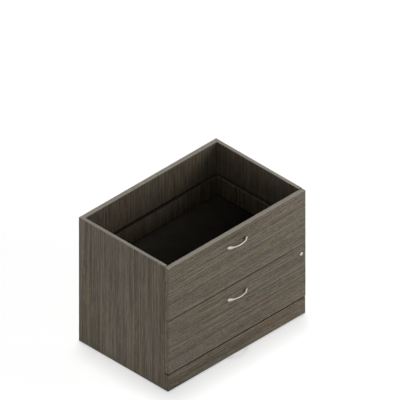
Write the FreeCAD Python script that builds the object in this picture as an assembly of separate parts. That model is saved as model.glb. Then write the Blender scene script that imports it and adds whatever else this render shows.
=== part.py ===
"""Two-drawer credenza without a top: an open-topped laminate case on levelling feet, two wide drawers on
three-member ball-bearing slides, and one lock whose lift bar holds both drawers.

Millimetres, +Z up, the front faces -Y, the origin is the bottom centre of the bounding box.
"""
import FreeCAD
import Part
import math
import os

Vec = FreeCAD.Vector

# Whole object: the case with its drawer fronts, the handles stand proud of DEPTH.
WIDTH = 914.0
DEPTH = 596.0
HEIGHT = 711.0

# Case boards.
END_T = 19.0
BACK_T = 25.0
BOTTOM_T = 19.0
KICK_T = 25.0
KICK_TOP = 94.0
RAIL_T = 19.0
RAIL_DEPTH = 60.0
RAIL_ABOVE_GAP = 5.0
EDGE_RADIUS = 1.2

# Drawer fronts: the lower one takes the height that is left.
FRONT_T = 25.0
UPPER_FRONT_H = 301.5
FRONT_GAP = 2.0
KICK_GAP = 7.0
TOP_REVEAL = 3.0
BUMPER_T = 1.5
BUMPER_R = 4.0
BUMPER_INSET = 30.0

# Drawer boxes.
BOX_H = 120.0
BOX_LIFT = 12.0
BOX_BOARD_T = 12.0
BOX_BOTTOM_T = 10.0
BOX_BOTTOM_UP = 10.0
GROOVE_DEPTH = 6.0
GROOVE_PLAY = 0.3

# Three-member slides, 45 mm tall, in the gap between the case and the drawer sides.
SLIDE_W = 12.7
SLIDE_H = 45.0
SLIDE_STEEL = 1.2
SLIDE_SETBACK = 30.0
SLIDE_REAR_PLAY = 14.5
SLIDE_UP = 40.0
MIDDLE_IN = 4.0
MEMBER_PLAY = 1.2
LIP_DEPTH = 1.0
BALL_R = 1.6
BALL_PLAY = 0.15
BALL_HOLE_PLAY = 0.1
BALL_COUNT = 5
CAGE_LENGTH = 220.0
CAGE_END = 20.0
CAGE_T = 0.8
CAGE_MARGIN = 0.4
SLIDE_SCREW_COUNT = 3
SLIDE_SCREW_INSET = 40.0

# Wood screws and dowels.
SCREW_R = 2.0
SCREW_HEAD_R = 4.0
SCREW_HEAD_H = 2.0
SCREW_PLAY = 0.15
SCREW_LENGTH = 11.0
FRONT_SCREW_BITE = 14.0
FRONT_SCREW_UP = 72.0
FRONT_SCREW_COUNT = 4
DOWEL_R = 4.0
DOWEL_PLAY = 0.1
DOWEL_IN_FACE = 11.0
DOWEL_IN_EDGE = 20.0
DOWEL_IN_SIDE = 8.0
DOWEL_END_PLAY = 1.0
DOWEL_INSET = 60.0
DOWEL_NEAR_FLOOR = 30.0
DEPTH_DOWEL_COUNT = 4
HEIGHT_DOWEL_COUNT = 4
WIDTH_DOWEL_COUNT = 3
BOX_DOWEL_INSET = 20.0

# Bow handles: a crescent in plan, and in front view a narrow strip that widens into oval feet.
HANDLE_LENGTH = 133.0
HANDLE_PROJECTION = 27.0
HANDLE_INNER_SPAN = 96.0
HANDLE_THICK = 4.5
HANDLE_FOOT_H = 17.0
HANDLE_FOOT_LENGTH = 20.0
HANDLE_NECK_SPAN = 62.0
HANDLE_WAIST_H = 6.0
HANDLE_TIP_RUN = 5.0
HANDLE_EDGE_RADIUS = 1.6
UPPER_HANDLE_DROP = 72.5
LOWER_HANDLE_DROP = 68.5
HANDLE_SCREW_PITCH = 102.0
HANDLE_SCREW_DEPTH = 8.0

# Lock: barrel in the lower drawer front, close to the right end panel.
LOCK_DROP = 48.0
LOCK_FACE_R = 8.75
LOCK_FACE_PROUD = 2.5
LOCK_FACE_ROUND = 1.0
BARREL_R = 7.5
BARREL_TAIL = 6.0
BARREL_PLAY = 0.2
NUT_R = 9.5
NUT_T = 4.0
NUT_CASE_PLAY = 0.5
PLUG_R = 5.5
PLUG_PLAY = 0.08
PLUG_RECESS = 0.5
PLUG_TAIL = 6.0
KEYWAY_W = 1.4
KEYWAY_H = 7.5
KEYWAY_DEPTH = 18.0
CAM_T = 2.5
CAM_HUB_R = 7.0
CAM_ARM_R = 3.5
CAM_PIN_RADIUS = 8.5
CAM_PIN_R = 1.75
CAM_PIN_LENGTH = 11.0
CAM_PLAY = 0.3
CAM_SCREW_R = 1.5

# Lift bar in a groove of the right end panel; a lug lifted by the cam pin and one lug per drawer catch.
BAR_W = 12.0
BAR_T = 4.0
BAR_PLAY = 0.5
BAR_SUNK = 1.2
BAR_SETBACK = 11.0
BAR_END = 6.0
LUG_T = 6.0
DRIVE_LUG_T = 3.0
LUG_REACH = 10.0
LUG_PIN_PLAY = 0.35
GUIDE_T = 1.2
GUIDE_H = 12.0
GUIDE_FLANGE = 9.0
GUIDE_SCREW_LENGTH = 8.0

# Drawer catches: folded steel, the tail hangs behind the lug once the bar is up.
CATCH_T = 2.5
CATCH_W = 10.0
CATCH_CASE_PLAY = 2.0
CATCH_BASE_UP = 24.0
CATCH_BASE_DOWN = 12.0
CATCH_TAIL = 14.5
CATCH_LUG_PLAY = 1.5
CATCH_BELOW_LOCK = 38.0
CATCH_ABOVE_SLIDE = 37.0
CATCH_SCREW_FIRST = 9.0
CATCH_SCREW_STEP = 10.0

# Levelling feet on brackets behind the kick board.
FLOOR_GAP = 2.0
FOOT_R = 12.0
FOOT_H = 8.0
STUD_R = 4.0
STUD_PLAY = 0.1
STUD_TOP = 60.0
FOOT_INSET_X = 20.0
FOOT_INSET_Y = 40.0
FOOT_SLOT_W = 1.2
FOOT_SLOT_DEPTH = 2.0
BRACKET_T = 3.0
BRACKET_W = 40.0
BRACKET_REACH = 36.0
BRACKET_H = 40.0
BRACKET_SCREW_UP = 28.0
BRACKET_SCREW_SIDE = 10.0
ACCESS_HOLE_R = 6.0

# Levels across the width, from front to back, and from the floor up.
OUTER_X = WIDTH / 2
INNER_X = OUTER_X - END_T
END_MID_X = OUTER_X - END_T / 2
SIDE_X = INNER_X - SLIDE_W
BOX_IN_X = SIDE_X - BOX_BOARD_T

FACE_Y = (HANDLE_PROJECTION - DEPTH) / 2
BACK_Y = FACE_Y + DEPTH
FRONT_BACK_Y = FACE_Y + FRONT_T
CASE_FRONT_Y = FRONT_BACK_Y + BUMPER_T
BACK_IN_Y = BACK_Y - BACK_T
SLIDE_Y = (CASE_FRONT_Y + SLIDE_SETBACK, BACK_IN_Y - SLIDE_REAR_PLAY)
BOX_Y = (FRONT_BACK_Y, SLIDE_Y[1])
BAR_Y = (CASE_FRONT_Y + BAR_SETBACK, CASE_FRONT_Y + BAR_SETBACK + BAR_W)
GROOVE_Y = (BAR_Y[0] - BAR_PLAY, BAR_Y[1] + BAR_PLAY)

UPPER_FRONT_Z = (HEIGHT - TOP_REVEAL - UPPER_FRONT_H, HEIGHT - TOP_REVEAL)
LOWER_FRONT_Z = (KICK_TOP + KICK_GAP, UPPER_FRONT_Z[0] - FRONT_GAP)
RAIL_Z = (UPPER_FRONT_Z[0] + RAIL_ABOVE_GAP - RAIL_T, UPPER_FRONT_Z[0] + RAIL_ABOVE_GAP)
BOTTOM_Z = (KICK_TOP - BOTTOM_T, KICK_TOP)
BOTTOM_MID_Z = KICK_TOP - BOTTOM_T / 2
UPPER_BOX_Z = UPPER_FRONT_Z[0] + BOX_LIFT
LOWER_BOX_Z = LOWER_FRONT_Z[0] + BOX_LIFT

# Slide section: half heights of the members, and depths from the case wall toward the drawer.
CASE_MEMBER_Z = SLIDE_H / 2
RACE = 2 * (BALL_R + BALL_PLAY)
MIDDLE_MEMBER_Z = CASE_MEMBER_Z - SLIDE_STEEL - RACE
DRAWER_MEMBER_Z = MIDDLE_MEMBER_Z - SLIDE_STEEL - RACE
BALL_IN = MIDDLE_IN + SLIDE_STEEL + BALL_R + 2 * CAGE_MARGIN
CASE_FLANGE_IN = BALL_IN + BALL_R + CAGE_MARGIN + SLIDE_STEEL
MIDDLE_FLANGE_IN = SLIDE_W - MEMBER_PLAY
DRAWER_FLANGE_IN = MIDDLE_IN + SLIDE_STEEL + MEMBER_PLAY

# Lock and lift bar: the pin swings a quarter turn about the lock axis and lifts the bar by BAR_LIFT.
LOCK_X = INNER_X - NUT_CASE_PLAY - NUT_R
LOCK_Z = LOWER_FRONT_Z[1] - LOCK_DROP
UPPER_HANDLE_Z = UPPER_FRONT_Z[1] - UPPER_HANDLE_DROP
LOWER_HANDLE_Z = LOWER_FRONT_Z[1] - LOWER_HANDLE_DROP
PIN_SIDE = CAM_PIN_RADIUS * math.cos(math.radians(45))
BAR_LIFT = 2 * PIN_SIDE
CAM_Y = (FRONT_BACK_Y + BARREL_TAIL + CAM_PLAY, FRONT_BACK_Y + BARREL_TAIL + CAM_PLAY + CAM_T)
BAR_X = (INNER_X + BAR_SUNK, INNER_X + BAR_SUNK + BAR_T)
DRIVE_LUG_Z = LOCK_Z - PIN_SIDE + CAM_PIN_R + LUG_PIN_PLAY
LOWER_CATCH_Z = LOCK_Z - CATCH_BELOW_LOCK
UPPER_CATCH_Z = UPPER_BOX_Z + SLIDE_UP + CASE_MEMBER_Z + CATCH_ABOVE_SLIDE
LUG_BELOW_CATCH = CATCH_TAIL + CATCH_LUG_PLAY
BAR_Z = (LOWER_CATCH_Z - LUG_BELOW_CATCH - LUG_T - BAR_END, UPPER_CATCH_Z - LUG_BELOW_CATCH + BAR_END)
GUIDE_ZS = (LOCK_Z - CATCH_BELOW_LOCK + CATCH_TAIL, UPPER_BOX_Z + SLIDE_UP - CASE_MEMBER_Z - GUIDE_H)


def box(x, y, z):
    """A board between low and high values on each axis."""
    return Part.makeBox(x[1] - x[0], y[1] - y[0], z[1] - z[0], Vec(x[0], y[0], z[0]))


def rod(radius, start, end):
    """A round bar between two points."""
    along = end.sub(start)
    return Part.makeCylinder(radius, along.Length, start, along)


def prism(points, along):
    """A closed outline of points pushed along a vector."""
    outline = Part.makePolygon(points + points[:1])
    return Part.Face(outline).extrude(along)


def spread(low, high, count):
    """Evenly spaced values with the first at low and the last at high."""
    step = (high - low) / (count - 1)
    return [low + step * number for number in range(count)]


def eased(board, radius, chosen):
    """The board with the chosen edges rounded."""
    return board.makeFillet(radius, [edge for edge in board.Edges if chosen(edge.BoundBox)])


def drilled(board, holes):
    """The board with every hole that reaches it cut away."""
    near = [hole for hole in holes if hole.BoundBox.intersect(board.BoundBox)]
    return board.cut(near) if near else board


def mirrored(shape):
    """The left-hand copy of a right-hand shape."""
    return shape.mirror(Vec(0, 0, 0), Vec(1, 0, 0))


def both_sides(shapes):
    """Right-hand shapes with their left-hand copies."""
    return shapes + [mirrored(shape) for shape in shapes]


def screw(seat, into, length):
    """A pan-head screw whose head sits on the seat point."""
    head = rod(SCREW_HEAD_R, seat, seat - into * SCREW_HEAD_H)
    shank = rod(SCREW_R, seat, seat + into * length)
    return head.fuse(shank).removeSplitter()


def screw_hole(seat, into, length):
    """The hole for a screw of that length."""
    return rod(SCREW_R + SCREW_PLAY, seat - into * SCREW_PLAY, seat + into * (length + SCREW_PLAY))


def dowel(joint, into, in_face, in_edge):
    """A dowel across a joint, set in a face behind the joint and in an edge ahead of it."""
    return rod(DOWEL_R, joint - into * in_face, joint + into * in_edge)


def dowel_hole(joint, into, in_face, in_edge):
    """The hole for that dowel in both boards."""
    start = joint - into * (in_face + DOWEL_END_PLAY)
    return rod(DOWEL_R + DOWEL_PLAY, start, joint + into * (in_edge + DOWEL_END_PLAY))


def case_dowel_places():
    """Joint points of the case and the way into the edge-on board, right half and middle."""
    depth_line = spread(CASE_FRONT_Y + DOWEL_INSET, BACK_IN_Y - DOWEL_INSET, DEPTH_DOWEL_COUNT)
    height_line = spread(FLOOR_GAP + DOWEL_NEAR_FLOOR, HEIGHT - DOWEL_INSET, HEIGHT_DOWEL_COUNT)
    width_line = spread(DOWEL_INSET - INNER_X, INNER_X - DOWEL_INSET, WIDTH_DOWEL_COUNT)
    rail_line = (GROOVE_Y[1] + 2 * DOWEL_R, CASE_FRONT_Y + RAIL_DEPTH - 2 * DOWEL_R)
    rail_mid_z = (RAIL_Z[0] + RAIL_Z[1]) / 2
    inward = Vec(-1, 0, 0)
    forward = Vec(0, -1, 0)
    rearward = Vec(0, 1, 0)
    sides = [(Vec(INNER_X, y, BOTTOM_MID_Z), inward) for y in depth_line]
    sides += [(Vec(INNER_X, y, rail_mid_z), inward) for y in rail_line]
    sides += [(Vec(END_MID_X, BACK_IN_Y, z), forward) for z in height_line]
    for z in (FLOOR_GAP + DOWEL_NEAR_FLOOR, KICK_TOP - DOWEL_NEAR_FLOOR):
        sides.append((Vec(END_MID_X, CASE_FRONT_Y, z), rearward))
    middle = [(Vec(x, BACK_IN_Y, BOTTOM_MID_Z), forward) for x in width_line]
    middle += [(Vec(x, CASE_FRONT_Y, BOTTOM_MID_Z), rearward) for x in width_line]
    return sides, middle


def case_dowels():
    """Dowels that join the ends, back, bottom, rail and kick board, with their holes."""
    sides, middle = case_dowel_places()
    reach = (DOWEL_IN_FACE, DOWEL_IN_EDGE)
    pins = both_sides([dowel(*place, *reach) for place in sides])
    holes = both_sides([dowel_hole(*place, *reach) for place in sides])
    pins += [dowel(*place, *reach) for place in middle]
    holes += [dowel_hole(*place, *reach) for place in middle]
    return pins, holes


def slide_screw_places(depth, into):
    """Seats of the screws along one right-hand slide at each drawer."""
    along = spread(SLIDE_Y[0] + SLIDE_SCREW_INSET, SLIDE_Y[1] - SLIDE_SCREW_INSET, SLIDE_SCREW_COUNT)
    x = INNER_X - depth
    return {
        "upper": [(Vec(x, y, UPPER_BOX_Z + SLIDE_UP), into, SCREW_LENGTH) for y in along],
        "lower": [(Vec(x, y, LOWER_BOX_Z + SLIDE_UP), into, SCREW_LENGTH) for y in along],
    }


def foot_places():
    """Axes of the right-hand levelling feet, front and rear."""
    x = INNER_X - FOOT_INSET_X
    return {"front": (x, CASE_FRONT_Y + FOOT_INSET_Y), "rear": (x, BACK_IN_Y - FOOT_INSET_Y)}


def case_screw_places():
    """Screws that hold case slides, levelling brackets and bar guides to the ends."""
    outward = Vec(1, 0, 0)
    slides = slide_screw_places(SLIDE_STEEL, outward)
    pairs = slides["upper"] + slides["lower"]
    for _, y in foot_places().values():
        for side in (-1, 1):
            seat = Vec(INNER_X - BRACKET_T, y + side * BRACKET_SCREW_SIDE, FOOT_H + BRACKET_SCREW_UP)
            pairs.append((seat, outward, SCREW_LENGTH))
    right_only = []
    for z in GUIDE_ZS:
        for y in (GROOVE_Y[0] - GUIDE_FLANGE / 2, GROOVE_Y[1] + GUIDE_FLANGE / 2):
            right_only.append((Vec(INNER_X - GUIDE_T, y, z), outward, GUIDE_SCREW_LENGTH))
    return pairs, right_only


def case_screws():
    """All screws driven into the end panels, with their holes."""
    pairs, right_only = case_screw_places()
    screws = both_sides([screw(*place) for place in pairs])
    holes = both_sides([screw_hole(*place) for place in pairs])
    screws += [screw(*place) for place in right_only]
    holes += [screw_hole(*place) for place in right_only]
    return screws, holes


def end_panel(holes):
    """Right end board with a rounded top edge."""
    board = box((INNER_X, OUTER_X), (CASE_FRONT_Y, BACK_IN_Y), (FLOOR_GAP, HEIGHT))
    board = eased(board, EDGE_RADIUS, lambda b: b.ZMin > HEIGHT - EDGE_RADIUS and b.XLength < EDGE_RADIUS)
    return drilled(board, holes)


def bar_groove():
    """Upright groove in the right end panel that the lift bar runs in."""
    z = (BAR_Z[0] - BAR_END, BAR_Z[1] + BAR_LIFT + BAR_END)
    return box((INNER_X - BAR_PLAY, BAR_X[1] + BAR_PLAY), GROOVE_Y, z)


def back_panel(holes):
    """Full-width back board with rounded outer edges."""
    board = box((-OUTER_X, OUTER_X), (BACK_IN_Y, BACK_Y), (FLOOR_GAP, HEIGHT))
    board = eased(board, EDGE_RADIUS, lambda b: b.ZMax > FLOOR_GAP + EDGE_RADIUS and b.YLength < EDGE_RADIUS)
    return drilled(board, holes)


def bottom_panel(holes):
    """Bottom board between the ends, with a hole over each levelling foot."""
    board = box((-INNER_X, INNER_X), (CASE_FRONT_Y, BACK_IN_Y), BOTTOM_Z)
    access = []
    for x, y in foot_places().values():
        access.append(rod(ACCESS_HOLE_R, Vec(x, y, BOTTOM_Z[0]), Vec(x, y, BOTTOM_Z[1])))
    return drilled(board, holes + both_sides(access))


def kick_board(holes):
    """Board under the drawers, on the front edges of the ends."""
    board = box((-OUTER_X, OUTER_X), (CASE_FRONT_Y - KICK_T, CASE_FRONT_Y), (FLOOR_GAP, KICK_TOP))
    board = eased(board, EDGE_RADIUS, lambda b: b.YMax < CASE_FRONT_Y - EDGE_RADIUS)
    return drilled(board, holes)


def front_rail(holes):
    """Rail between the ends, behind the gap between the drawer fronts."""
    board = box((-INNER_X, INNER_X), (CASE_FRONT_Y, CASE_FRONT_Y + RAIL_DEPTH), RAIL_Z)
    return drilled(board, holes)


def bumpers():
    """Round pads on the front edges of the ends, two behind each end of a drawer front."""
    pads = []
    for low, high in (UPPER_FRONT_Z, LOWER_FRONT_Z):
        for z in (low + BUMPER_INSET, high - BUMPER_INSET):
            pads.append(rod(BUMPER_R, Vec(END_MID_X, FRONT_BACK_Y, z), Vec(END_MID_X, CASE_FRONT_Y, z)))
    return both_sides(pads)


def leveller_bracket(x, y, holes):
    """Folded steel angle on the end panel with a threaded hole for the foot."""
    low = (INNER_X - BRACKET_REACH, FOOT_H)
    knee = (INNER_X - BRACKET_T, FOOT_H + BRACKET_T)
    top = FOOT_H + BRACKET_H
    section = [low, (INNER_X, FOOT_H), (INNER_X, top), (knee[0], top), knee, (low[0], knee[1])]
    points = [Vec(px, y - BRACKET_W / 2, pz) for px, pz in section]
    angle = prism(points, Vec(0, BRACKET_W, 0))
    thread = rod(STUD_R + STUD_PLAY, Vec(x, y, 0), Vec(x, y, STUD_TOP))
    return drilled(angle, holes + [thread])


def levelling_foot(x, y):
    """Round foot on a stud with a screwdriver slot in its top."""
    pad = rod(FOOT_R, Vec(x, y, 0), Vec(x, y, FOOT_H))
    pad = eased(pad, EDGE_RADIUS, lambda b: b.ZLength < EDGE_RADIUS and b.ZMax < FOOT_H / 2)
    foot = pad.fuse(rod(STUD_R, Vec(x, y, FOOT_H), Vec(x, y, STUD_TOP))).removeSplitter()
    slot_y = (y - FOOT_SLOT_W / 2, y + FOOT_SLOT_W / 2)
    return foot.cut(box((x - STUD_R, x + STUD_R), slot_y, (STUD_TOP - FOOT_SLOT_DEPTH, STUD_TOP)))


def channel(half_height, depths, lip):
    """Outline of a C-shaped slide member: web and flanges, as depth and height, web at the first depth."""
    web, tip = depths
    toward = 1 if tip > web else -1
    inside = web + toward * SLIDE_STEEL
    low = half_height - SLIDE_STEEL
    upper = [(web, half_height), (tip, half_height)]
    if lip:
        behind = tip - toward * SLIDE_STEEL
        upper += [(tip, low - lip), (behind, low - lip), (behind, low)]
    else:
        upper += [(tip, low)]
    upper += [(inside, low)]
    lower = [(depth, -height) for depth, height in reversed(upper)]
    return upper + lower


def slide_member(section, mid_z):
    """Right-hand slide member from its outline."""
    points = [Vec(INNER_X - depth, SLIDE_Y[0], mid_z + height) for depth, height in section]
    return prism(points, Vec(0, SLIDE_Y[1] - SLIDE_Y[0], 0))


def ball_cage(mid_z, outer_half_height):
    """Right-hand pair of ball strips, above and below, inside the flanges at that half height."""
    mid_y = (SLIDE_Y[0] + SLIDE_Y[1]) / 2
    ends = (mid_y - CAGE_LENGTH / 2, mid_y + CAGE_LENGTH / 2)
    half_width = BALL_R + CAGE_MARGIN
    x_mid = INNER_X - BALL_IN
    pieces = []
    for side in (-1, 1):
        z = mid_z + side * (outer_half_height - SLIDE_STEEL - RACE / 2)
        strip = box((x_mid - half_width, x_mid + half_width), ends, (z - CAGE_T / 2, z + CAGE_T / 2))
        along = spread(ends[0] + CAGE_END, ends[1] - CAGE_END, BALL_COUNT)
        holes = []
        for y in along:
            holes.append(rod(BALL_R + BALL_HOLE_PLAY, Vec(x_mid, y, z - BALL_R), Vec(x_mid, y, z + BALL_R)))
            pieces.append(Part.makeSphere(BALL_R, Vec(x_mid, y, z)))
        pieces.append(strip.cut(holes))
    return pieces


def slide_nodes(level, box_z, case_holes, drawer_holes):
    """Slides of one drawer, left and right, with their ball cages."""
    mid_z = box_z + SLIDE_UP
    case_member = slide_member(channel(CASE_MEMBER_Z, (0, CASE_FLANGE_IN), LIP_DEPTH), mid_z)
    middle = slide_member(channel(MIDDLE_MEMBER_Z, (MIDDLE_IN, MIDDLE_FLANGE_IN), 0), mid_z)
    drawer_member = slide_member(channel(DRAWER_MEMBER_Z, (SLIDE_W, DRAWER_FLANGE_IN), 0), mid_z)
    right = {
        "case_slide": drilled(case_member, case_holes),
        "middle_slide": middle,
        "drawer_slide": drilled(drawer_member, drawer_holes),
    }
    nodes = {}
    for name, shape in right.items():
        nodes[level + "_right_" + name] = [shape]
        nodes[level + "_left_" + name] = [mirrored(shape)]
    nodes[level + "_outer_ball_cages"] = both_sides(ball_cage(mid_z, CASE_MEMBER_Z))
    nodes[level + "_inner_ball_cages"] = both_sides(ball_cage(mid_z, MIDDLE_MEMBER_Z))
    return nodes


def handle_plan(low):
    """Crescent between an elliptical hollow and an outer arc that runs past the blunt tips."""
    half = HANDLE_LENGTH / 2 + HANDLE_TIP_RUN
    inner = HANDLE_INNER_SPAN / 2
    crest = FACE_Y - HANDLE_PROJECTION
    hollow = crest + HANDLE_THICK
    cavity = Part.Ellipse(Vec(inner, FACE_Y, low), Vec(0, hollow, low), Vec(0, FACE_Y, low))
    edges = [
        Part.Arc(Vec(-half, FACE_Y, low), Vec(0, crest, low), Vec(half, FACE_Y, low)).toShape(),
        Part.makeLine(Vec(half, FACE_Y, low), Vec(inner, FACE_Y, low)),
        cavity.toShape(0, math.pi),
        Part.makeLine(Vec(-inner, FACE_Y, low), Vec(-half, FACE_Y, low)),
    ]
    return Part.Face(Part.Wire(edges))


def handle_outline(centre_z):
    """Front view of the handle: oval feet, a smooth neck beside each, and a straight waist."""
    half = HANDLE_LENGTH / 2
    foot = HANDLE_FOOT_H / 2
    waist = HANDLE_WAIST_H / 2
    foot_x = half - HANDLE_FOOT_LENGTH / 2
    neck_x = HANDLE_NECK_SPAN / 2
    bend_x = (foot_x + neck_x) / 2

    def place(x, z):
        return Vec(x, FACE_Y, centre_z + z)

    edges = []
    for way in (-1, 1):
        tip = Part.Ellipse(place(way * half, 0), place(way * foot_x, foot), place(way * foot_x, 0))
        edges.append(tip.toShape(-math.pi / 2, math.pi / 2))
        edges.append(Part.makeLine(place(-neck_x, way * waist), place(neck_x, way * waist)))
        for rise in (-1, 1):
            poles = ((neck_x, waist), (bend_x, waist), (bend_x, foot), (foot_x, foot))
            neck = Part.BezierCurve()
            neck.setPoles([place(way * x, rise * z) for x, z in poles])
            edges.append(neck.toShape())
    return Part.Face(Part.Wire(Part.__sortEdges__(edges)))


def handle(centre_z, holes):
    """Bow handle: its plan and its front view cut from each other, long edges rounded."""
    bow = handle_plan(centre_z - HANDLE_FOOT_H / 2).extrude(Vec(0, 0, HANDLE_FOOT_H))
    pull = bow.common(handle_outline(centre_z).extrude(Vec(0, -HANDLE_PROJECTION, 0)))
    proud_y = FACE_Y - HANDLE_EDGE_RADIUS
    pull = eased(pull, HANDLE_EDGE_RADIUS, lambda b: b.XLength > HANDLE_THICK and b.YMin < proud_y)
    return drilled(pull, holes)


def handle_screws(centre_z):
    """Machine screws through the drawer front into the handle feet, with their holes."""
    forward = Vec(0, -1, 0)
    length = FRONT_T + HANDLE_SCREW_DEPTH
    seats = [Vec(side * HANDLE_SCREW_PITCH / 2, FRONT_BACK_Y, centre_z) for side in (-1, 1)]
    screws = [screw(seat, forward, length) for seat in seats]
    return screws, [screw_hole(seat, forward, length) for seat in seats]


def catch(arm_z, holes):
    """Folded catch on the back of a drawer front."""
    rear = BAR_Y[1] + BAR_PLAY + CATCH_T
    inner = FRONT_BACK_Y + CATCH_T
    section = [
        (FRONT_BACK_Y, arm_z - CATCH_BASE_DOWN), (inner, arm_z - CATCH_BASE_DOWN), (inner, arm_z),
        (rear - CATCH_T, arm_z), (rear - CATCH_T, arm_z - CATCH_TAIL), (rear, arm_z - CATCH_TAIL),
        (rear, arm_z + CATCH_T), (inner, arm_z + CATCH_T), (inner, arm_z + CATCH_BASE_UP),
        (FRONT_BACK_Y, arm_z + CATCH_BASE_UP),
    ]
    x = INNER_X - CATCH_CASE_PLAY - CATCH_W
    points = [Vec(x, y, z) for y, z in section]
    return drilled(prism(points, Vec(CATCH_W, 0, 0)), holes)


def drawer_screw_places(level, box_z, catch_z):
    """Screws of one drawer: slide members, inner front to front, and catch."""
    inward = Vec(-1, 0, 0)
    forward = Vec(0, -1, 0)
    pairs = slide_screw_places(SLIDE_W - SLIDE_STEEL, inward)[level]
    front = []
    for x in spread(DOWEL_INSET - BOX_IN_X, BOX_IN_X - DOWEL_INSET, FRONT_SCREW_COUNT):
        seat = Vec(x, BOX_Y[0] + BOX_BOARD_T, box_z + FRONT_SCREW_UP)
        front.append((seat, forward, BOX_BOARD_T + FRONT_SCREW_BITE))
    x = INNER_X - CATCH_CASE_PLAY - CATCH_W / 2
    for step in (0, CATCH_SCREW_STEP):
        seat = Vec(x, FRONT_BACK_Y + CATCH_T, catch_z + CATCH_SCREW_FIRST + step)
        front.append((seat, forward, SCREW_LENGTH))
    return pairs, front


def box_dowel_places(box_z):
    """Joints between the drawer sides and the inner front and back, right half."""
    inward = Vec(-1, 0, 0)
    places = []
    for y in (BOX_Y[0] + BOX_BOARD_T / 2, BOX_Y[1] - BOX_BOARD_T / 2):
        floor_top = box_z + BOX_BOTTOM_UP + BOX_BOTTOM_T
        for z in (floor_top + BOX_DOWEL_INSET, box_z + BOX_H - BOX_DOWEL_INSET):
            places.append((Vec(BOX_IN_X, y, z), inward, DOWEL_IN_SIDE, DOWEL_IN_EDGE))
    return places


def drawer_front(z, holes):
    """Drawer front board, full width, with rounded edges."""
    board = box((-OUTER_X, OUTER_X), (FACE_Y, FRONT_BACK_Y), z)
    board = eased(board, EDGE_RADIUS, lambda b: True)
    return drilled(board, holes)


def box_boards(box_z, holes):
    """Inner front, sides, back and bottom of one drawer box."""
    z = (box_z, box_z + BOX_H)
    floor_z = box_z + BOX_BOTTOM_UP
    y_in = BOX_Y[0] + BOX_BOARD_T
    groove_reach = BOX_IN_X + GROOVE_DEPTH
    groove_z = (floor_z - GROOVE_PLAY, floor_z + BOX_BOTTOM_T + GROOVE_PLAY)
    groove = box((-groove_reach, groove_reach), (y_in - GROOVE_DEPTH, BOX_Y[1] + GROOVE_PLAY), groove_z)
    side = box((BOX_IN_X, SIDE_X), BOX_Y, z)
    side = eased(side, EDGE_RADIUS, lambda b: b.ZMin > z[1] - EDGE_RADIUS and b.XLength < EDGE_RADIUS)
    side = drilled(side, holes + [groove])
    inner_front = box((-BOX_IN_X, BOX_IN_X), (BOX_Y[0], y_in), z)
    back_z = (floor_z + BOX_BOTTOM_T, z[1])
    back = box((-BOX_IN_X, BOX_IN_X), (BOX_Y[1] - BOX_BOARD_T, BOX_Y[1]), back_z)
    reach = groove_reach - GROOVE_PLAY
    floor_y = (y_in - GROOVE_DEPTH + GROOVE_PLAY, BOX_Y[1])
    floor = box((-reach, reach), floor_y, (floor_z, floor_z + BOX_BOTTOM_T))
    return {
        "inner_front": drilled(inner_front, holes + [groove]),
        "right_side": side,
        "left_side": mirrored(side),
        "back": drilled(back, holes),
        "bottom": floor,
    }


def drawer_nodes(level, front_z, box_z, handle_z, catch_z, front_holes, case_holes):
    """One drawer with its front, box, handle, catch, fasteners and slides."""
    pairs, front = drawer_screw_places(level, box_z, catch_z)
    screws = both_sides([screw(*place) for place in pairs]) + [screw(*place) for place in front]
    slide_holes = [screw_hole(*place) for place in pairs]
    front_screw_holes = [screw_hole(*place) for place in front]
    places = box_dowel_places(box_z)
    dowel_holes = both_sides([dowel_hole(*place) for place in places])
    pull_screws, pull_holes = handle_screws(handle_z)
    nodes = {
        level + "_drawer_front": [drawer_front(front_z, front_holes + front_screw_holes + pull_holes)],
        level + "_drawer_screws": screws,
        level + "_drawer_dowels": both_sides([dowel(*place) for place in places]),
        level + "_handle": [handle(handle_z, pull_holes)],
        level + "_handle_screws": pull_screws,
        level + "_lock_catch": [catch(catch_z, front_screw_holes)],
    }
    boards = box_boards(box_z, slide_holes + front_screw_holes + dowel_holes)
    for name, board in boards.items():
        nodes[level + "_drawer_" + name] = [board]
    nodes.update(slide_nodes(level, box_z, case_holes, slide_holes))
    return nodes


def lock_rod(radius, start, end):
    """A round bar on the lock axis between two depths."""
    return rod(radius, Vec(LOCK_X, start, LOCK_Z), Vec(LOCK_X, end, LOCK_Z))


def lock_barrel():
    """Barrel through the drawer front with a rounded face flange."""
    face_y = FACE_Y - LOCK_FACE_PROUD
    flange = lock_rod(LOCK_FACE_R, FACE_Y, face_y)
    flange = eased(flange, LOCK_FACE_ROUND, lambda b: b.YMax < FACE_Y - LOCK_FACE_ROUND)
    body = flange.fuse(lock_rod(BARREL_R, FACE_Y, FRONT_BACK_Y + BARREL_TAIL)).removeSplitter()
    return body.cut(lock_rod(PLUG_R + PLUG_PLAY, face_y, FRONT_BACK_Y + BARREL_TAIL))


def lock_nut():
    """Ring nut on the barrel behind the drawer front."""
    ring = lock_rod(NUT_R, FRONT_BACK_Y, FRONT_BACK_Y + NUT_T)
    return ring.cut(lock_rod(BARREL_R + BARREL_PLAY, FRONT_BACK_Y, FRONT_BACK_Y + NUT_T))


def plug_tail(play):
    """Square end of the plug that carries the cam."""
    half = PLUG_TAIL / 2 + play
    y = (FRONT_BACK_Y + BARREL_TAIL, CAM_Y[1])
    return box((LOCK_X - half, LOCK_X + half), y, (LOCK_Z - half, LOCK_Z + half))


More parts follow.
